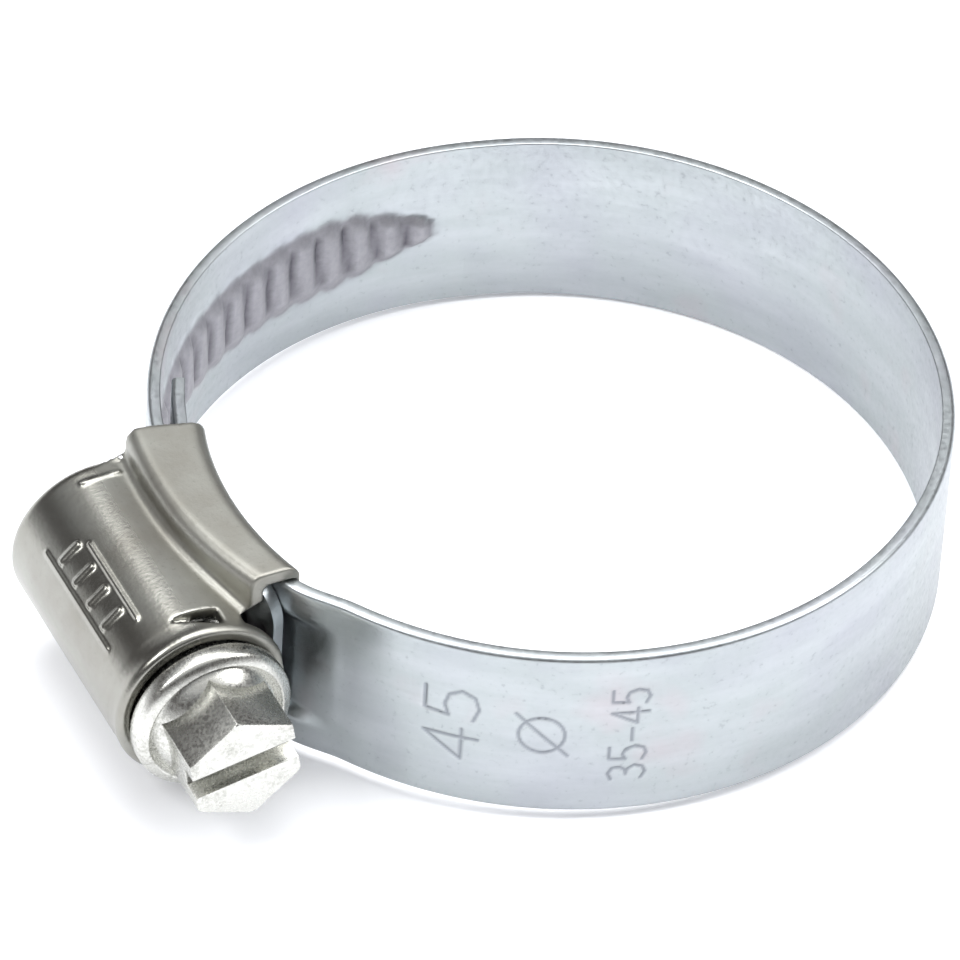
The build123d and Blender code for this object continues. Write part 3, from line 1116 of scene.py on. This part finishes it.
        def shape(spots: np.ndarray) -> np.ndarray:
            index = np.round(spots[:, 0] * around).astype(int) % around
            degrees = 140 + 90 * spots[:, 1]
            turn = np.radians(degrees)
            picked = outline[index].copy()
            lower = picked[:, 0] < (low + high) / 2
            picked[lower, 0] -= self.tongue_drop * smoothstep(182.0, 162.0, degrees)[lower]
            return np.column_stack(
                [
                    self.centre[0] + picked[:, 0] * np.cos(turn),
                    self.centre[1] + picked[:, 0] * np.sin(turn),
                    picked[:, 1],
                ]
            )

        return Workshop.loft("passage", around, stations, shape)

    def throat(self) -> bpy.types.Object:
        """Room between the passage and the barrel's bore, narrowing upward."""
        piece = Workshop.bar("throat", (-26.5, -9.6, -1.0), (-22.8, 3.8, 1.0))

        def narrowed(points: np.ndarray) -> np.ndarray:
            """Make the throat narrower on the barrel's side."""
            wide = np.where(points[:, 0] > -24.0, 5.2, 3.7)
            return np.column_stack([points[:, 0], points[:, 1], points[:, 2] * wide])

        Workshop.reshape(piece, narrowed)
        return piece

    def on_barrel(self, piece: bpy.types.Object, turn: float) -> None:
        """Carry a bar made on the crown round the barrel, towards +Z."""
        angle = math.radians(turn)

        def moved(points: np.ndarray) -> np.ndarray:
            x, z = points[:, 0] + self.axis, points[:, 2]
            return np.column_stack(
                [
                    x * math.cos(angle) + z * math.sin(angle) - self.axis,
                    points[:, 1],
                    -x * math.sin(angle) + z * math.cos(angle),
                ]
            )

        Workshop.reshape(piece, moved)

    def crown_bar(
        self, start: float, end: float, half: float, proud: float, turn: float
    ) -> bpy.types.Object:
        """A bar along the barrel, standing proud of it by a little."""
        crown = -self.axis - self.barrel_radius
        piece = Workshop.bar("rib", (crown - proud, start, -half), (crown + 0.4, end, half))
        self.on_barrel(piece, turn)
        return piece

    def ribs(self) -> list[bpy.types.Object]:
        """Plain raised ribs and bars on the barrel, and the coined line above them."""
        pieces = [
            self.crown_bar(self.rib_start, self.rib_end - 2.0 * k, 0.12, 0.13, turn)
            for k, turn in enumerate(self.rib_turns)
        ]
        middle = sum(self.rib_turns) / 2
        for index in range(4):
            start = self.rib_start + 1.2 + 2.0 * index
            pieces.append(self.crown_bar(start, start + 0.4, 0.85, 0.16, middle))
        pieces.append(self.crown_bar(3.95, 4.1, 1.25, 0.05, 88.0))
        return pieces

    def lances(self) -> list[bpy.types.Object]:
        """Triangular pockets pressed in beside the mouth on both sides."""
        pieces = []
        for side in (1, -1):
            crown = -self.axis - self.barrel_radius
            pocket = Workshop.bar("pocket", (crown - 0.5, -9.9, -1.4), (crown + 1.0, -8.5, 1.4))

            def wedge(points: np.ndarray) -> np.ndarray:
                """Give the pocket its slope and slant."""
                share = np.clip((points[:, 2] + 1.4) / 2.8, 0, 1)
                moved = points.copy()
                back = points[:, 1] > -9.2
                moved[:, 1] = np.where(back, -8.5, -8.8 - 1.3 * share)
                deep = points[:, 0] > crown + 0.2
                slope = np.where(back, 1.5, 0.1)
                moved[:, 0] = np.where(deep, crown + slope, points[:, 0])
                return moved

            Workshop.reshape(pocket, wedge)
            self.on_barrel(pocket, 92.0)
            if side < 0:
                Workshop.reshape(pocket, lambda points: points * [1, 1, -1])
            Workshop.outward(pocket)
            pieces.append(pocket)
        return pieces

    def build(self) -> bpy.types.Object:
        """Fuse the pressed shape, round it and dress it.

        Returns:
            The finished housing.
        """
        body = self.saddle()
        Workshop.combine(body, self.barrel(), "UNION")
        for rib in self.ribs():
            Workshop.combine(body, rib, "UNION")
        for pocket in self.lances():
            Workshop.combine(body, pocket, "DIFFERENCE")
        Workshop.combine(body, self.passage(), "DIFFERENCE")
        Workshop.combine(body, self.throat(), "DIFFERENCE")
        bore_end = self.barrel_end - self.end_wall
        bore = [
            (self.barrel_start - 1.0, 0.0),
            (self.barrel_start - 1.0, self.barrel_bore),
            (bore_end, self.barrel_bore),
            (bore_end + 0.01, self.tip_bore),
            (self.barrel_end + 1.0, self.tip_bore),
            (self.barrel_end + 1.0, 0.0),
        ]
        Workshop.combine(body, self.turned_form("bore", bore), "DIFFERENCE")
        Workshop.modify(
            body, "REMESH", mode="VOXEL", voxel_size=self.grain, adaptivity=0.0
        )
        Workshop.modify(body, "SMOOTH", factor=0.5, iterations=4)
        points = Workshop.points(body)
        polish = smoothstep(-self.axis + 1.4, -self.axis - 0.6, points[:, 0])
        Workshop.mark(body, "polish", polish)
        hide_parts("housing")
        Workshop.finish(body, "housing_pressed", self.material, Slot.HOUSING, 60.0)
        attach(body, "housing")
        return body


def turned_form(
    name: str, profile: list[tuple[float, float]], axis_x: float, around: int
) -> bpy.types.Object:
    """A form turned about an axis parallel to Y.

    Args:
        name: Name of the piece.
        profile: Rows of (y, radius), from one end to the other.
        axis_x: Place of the axis along X.
        around: Points round the form.

    Returns:
        The closed form.
    """
    rows = np.array(profile, float)
    rows[:, 1] = np.maximum(rows[:, 1], 1e-4)

    def shape(spots: np.ndarray) -> np.ndarray:
        station = np.round(spots[:, 1] * (len(rows) - 1)).astype(int)
        turn = spots[:, 0] * math.tau
        y, radius = rows[station, 0], rows[station, 1]
        return np.column_stack([axis_x + radius * np.cos(turn), y, radius * np.sin(turn)])

    return Workshop.loft(name, around, len(rows), shape)


# ---- Screw ----------------------------------------------------------------------


@dataclass
class Screw:
    """Worm screw: slotted hexagon head, flange, collar, worm and tip."""

    across_flats: float = 6.5
    hex_turn: float = 20.0
    crown_radius: float = 3.62
    crown_degrees: float = 30.0
    slot_width: float = 1.5
    slot_depth: float = 1.3
    flange_radius: float = 4.9
    collar_radius: float = 4.45
    flange_back: float = -11.1
    flange_front: float = -12.3
    neck_end: float = -9.4
    edge_round: float = 0.06

    def __post_init__(self) -> None:
        """Read the screw's place from the frame."""
        low, _ = node_box("screw")
        self.head_front = float(low[1])
        self.axis_x = float(joint_place("screw_spin")[0])
        self.material = BrightScrew().build()

    def head(self) -> bpy.types.Object:
        """Slotted hexagon with its corners broken by a shallow cone."""
        Workshop.clear()
        depth = self.flange_front - self.head_front + 0.3
        bpy.ops.mesh.primitive_cylinder_add(
            vertices=6, radius=self.across_flats / math.sqrt(3), depth=depth
        )
        hexagon = bpy.context.object
        middle = self.head_front + depth / 2

        def stand(points: np.ndarray) -> np.ndarray:
            """Stand the hexagon on the screw's axis."""
            turn = np.arctan2(points[:, 1], points[:, 0])
            reach = np.hypot(points[:, 0], points[:, 1])
            corner = np.round((turn - math.radians(30)) / math.tau * 6)
            own = corner / 6 * math.tau + math.radians(self.hex_turn)
            return np.column_stack(
                [
                    self.axis_x - reach * np.cos(own),
                    middle + points[:, 2],
                    reach * np.sin(own),
                ]
            )

        Workshop.reshape(hexagon, stand)
        Workshop.outward(hexagon)
        slope = math.tan(math.radians(self.crown_degrees))
        run = depth + 1.0
        cone = turned_form(
            "cone",
            [
                (self.head_front - 0.001, 0.0),
                (self.head_front - 0.001, self.crown_radius),
                (self.head_front + run, self.crown_radius + run / slope),
                (self.head_front + run, 0.0),
            ],
            self.axis_x,
            96,
        )
        Workshop.combine(hexagon, cone, "INTERSECT")
        slot = Workshop.bar(
            "slot",
            (-10.0, self.head_front - 2.0, -self.slot_width / 2),
            (10.0, self.head_front + self.slot_depth, self.slot_width / 2),
        )
        angle = math.radians(self.hex_turn - 30.0)

        def swing(points: np.ndarray) -> np.ndarray:
            """Turn the slot to the hexagon and carry it to the axis."""
            x, z = points[:, 0], points[:, 2]
            return np.column_stack(
                [
                    self.axis_x - (x * math.cos(angle) - z * math.sin(angle)),
                    points[:, 1],
                    x * math.sin(angle) + z * math.cos(angle),
                ]
            )

        Workshop.reshape(slot, swing)
        Workshop.outward(slot)
        Workshop.combine(hexagon, slot, "DIFFERENCE")
        Workshop.modify(
            hexagon,
            "BEVEL",
            width=self.edge_round,
            segments=3,
            limit_method="ANGLE",
            angle_limit=math.radians(25),
        )
        return hexagon

    def flange(self) -> bpy.types.Object:
        """Collar, flange with its rolled front edge, groove and the cone to the hexagon."""
        back, front, rim = self.flange_back, self.flange_front, self.flange_radius
        profile = [
            (self.neck_end, 0.0),
            (self.neck_end, self.collar_radius - 0.1),
            (self.neck_end - 0.1, self.collar_radius),
            (back, self.collar_radius),
            (back, rim - 0.12),
            (back - 0.05, rim - 0.04),
            (back - 0.14, rim),
            (front + 0.35, rim),
            (front + 0.18, rim - 0.05),
            (front + 0.02, rim - 0.2),
            (front - 0.14, rim - 0.46),
            (front - 0.2, rim - 0.62),
            (front - 0.17, rim - 0.74),
            (front - 0.04, rim - 0.82),
            (front + 0.02, rim - 0.9),
            (front - 0.06, rim - 1.0),
            (front - 0.22, rim - 1.1),
            (front - 0.5, rim - 1.3),
            (front - 0.85, rim - 1.6),
            (front - 1.1, rim - 1.95),
            (front - 1.15, 0.0),
        ]
        return turned_form("flange", profile, self.axis_x, 128)

    def worm(self) -> bpy.types.Object:
        """Worm and tip, taken from the frame's screw behind the collar."""
        source = frame["nodes"]["screw"]
        Workshop.clear()
        piece = source.copy()
        piece.data = source.data.copy()
        for key in list(piece.keys()):
            del piece[key]
        piece.parent = None
        bpy.context.scene.collection.objects.link(piece)
        Workshop.reshape(piece, lambda points: points / MM)
        Workshop.outward(piece)
        Workshop.take(piece)
        bpy.ops.object.mode_set(mode="EDIT")
        bpy.ops.mesh.select_all(action="SELECT")
        bpy.ops.mesh.bisect(
            plane_co=(self.axis_x, self.neck_end - 0.3, 0),
            plane_no=(0, 1, 0),
            use_fill=True,
            clear_inner=True,
        )
        bpy.ops.object.mode_set(mode="OBJECT")
        return piece

    def build(self) -> bpy.types.Object:
        """Join the screw's forms and dress them.

        Returns:
            The finished screw.
        """
        piece = Workshop.gather([self.flange(), self.head(), self.worm()])
        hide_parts("screw")
        Workshop.finish(piece, "screw_slotted_hex", self.material, Slot.SCREW, 30.0)
        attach(piece, "screw")
        return piece


# ---- Studio ---------------------------------------------------------------------


@dataclass
class Studio:
    """Pale floor, soft lights, surroundings and camera."""

    floor_size: float = 1.6
    floor_glow: float = 0.20  # a lit board, which keeps the shadows soft and pale
    location: tuple[float, float, float] = (-0.198434, -0.365470, 0.373845)
    turn: tuple[tuple[float, float, float], ...] = (
        (0.90257478, 0.25465402, -0.34714565),
        (-0.42776391, 0.62173115, -0.65610092),
        (0.04875253, 0.74067652, 0.67009066),
    )
    lens: float = 352.86

    def build_camera(self) -> None:
        """Place the camera and make it the scene's own."""
        data = bpy.data.cameras.new("view")
        data.lens = self.lens
        data.sensor_width = 36.0
        data.clip_start, data.clip_end = 0.01, 20.0
        camera = bpy.data.objects.new("view", data)
        bpy.context.scene.collection.objects.link(camera)
        camera.matrix_world = Matrix.Translation(self.location) @ Matrix(self.turn).to_4x4()
        bpy.context.scene.camera = camera

    def build_floor(self) -> None:
        """Plain pale floor under the housing and the far side of the ring."""
        near = node_box("housing")[0]
        far = node_box("band_segment_06")
        low_near = float(near[2]) * MM
        low_far = -float(far[1][2]) * MM
        run = (float(far[1][0]) + 24.5) * MM
        slope = math.atan2(low_far - low_near, run)
        Workshop.clear()
        bpy.ops.mesh.primitive_grid_add(x_subdivisions=24, y_subdivisions=24, size=self.floor_size)
        floor = bpy.context.object
        floor.name = "floor"
        start = -24.5 * MM

        def lay(points: np.ndarray) -> np.ndarray:
            """Lay the floor level with the part."""
            lift = low_near + (points[:, 0] - start) * math.tan(slope)
            return np.column_stack([points[:, 0], points[:, 1], lift])

        Workshop.reshape(floor, lay)
        material = bpy.data.materials.new("matt_white_board")
        material.use_nodes = True
        shader = material.node_tree.nodes["Principled BSDF"]
        shader.inputs["Base Color"].default_value = linear("#F4F5F8")
        shader.inputs["Roughness"].default_value = 0.9
        shader.inputs["Specular IOR Level"].default_value = 0.1
        shader.inputs["Emission Color"].default_value = linear("#F6F7FB")
        shader.inputs["Emission Strength"].default_value = self.floor_glow
        floor.data.materials.append(material)

    def build_world(self) -> None:
        """Studio surroundings: bright above, a darker room near the horizon."""
        world = bpy.data.worlds.new("studio")
        bpy.context.scene.world = world
        world.use_nodes = True
        tree = world.node_tree
        direction = add_node(tree, "ShaderNodeTexCoord").outputs["Generated"]
        split = add_node(tree, "ShaderNodeSeparateXYZ", None, {"Vector": direction})
        ramp = add_node(tree, "ShaderNodeValToRGB", None, {"Fac": split.outputs["Z"]})
        stops = (
            (0.0, "#FFFFFF"),
            (0.12, "#F2F3F6"),
            (0.26, "#6E6A6A"),
            (0.5, "#5C5958"),
            (0.66, "#C9CBCE"),
            (0.85, "#FFFFFF"),
        )
        elements = ramp.color_ramp.elements
        while len(elements) < len(stops):
            elements.new(0.5)
        for element, (place, colour) in zip(elements, stops):
            element.position = place
            element.color = linear(colour)
        shader = tree.nodes["Background"]
        tree.links.new(ramp.outputs["Color"], shader.inputs["Color"])
        shader.inputs["Strength"].default_value = 0.76

    def add_panel(
        self, name: str, azimuth: float, elevation: float, distance: float, size: float, watts: float
    ) -> None:
        """Place a square soft panel that faces the clamp."""
        data = bpy.data.lights.new(name, "AREA")
        data.size = size
        data.energy = watts
        panel = bpy.data.objects.new(name, data)
        bpy.context.scene.collection.objects.link(panel)
        a, e = math.radians(azimuth), math.radians(elevation)
        way = Vector((math.cos(e) * math.cos(a), math.cos(e) * math.sin(a), math.sin(e)))
        panel.location = way * distance
        panel.rotation_euler = way.to_track_quat("Z", "Y").to_euler()

    def build(self) -> None:
        """Set up floor, surroundings, lights and camera."""
        self.build_camera()
        self.build_floor()
        self.build_world()
        self.add_panel("panel_top", 60.0, 78.0, 0.9, 0.8, 8.0)
        self.add_panel("panel_left", 175.0, 50.0, 0.9, 0.35, 3.4)
        self.add_panel("panel_right", -30.0, 45.0, 0.9, 0.4, 3.4)
        view = bpy.context.scene.view_settings
        view.view_transform = "Standard"
        view.look = "None"
        view.exposure = 0.0


def main() -> None:
    """Build the clamp and its studio in order."""
    logging.basicConfig(level=logging.INFO, format="%(message)s")
    Studio().build()
    Screw().build()
    Housing().build()
    band = Band()
    band.build_fixed_end()
    band.build_tail()
    band.build_ring()


if __name__ == "__main__":
    main()
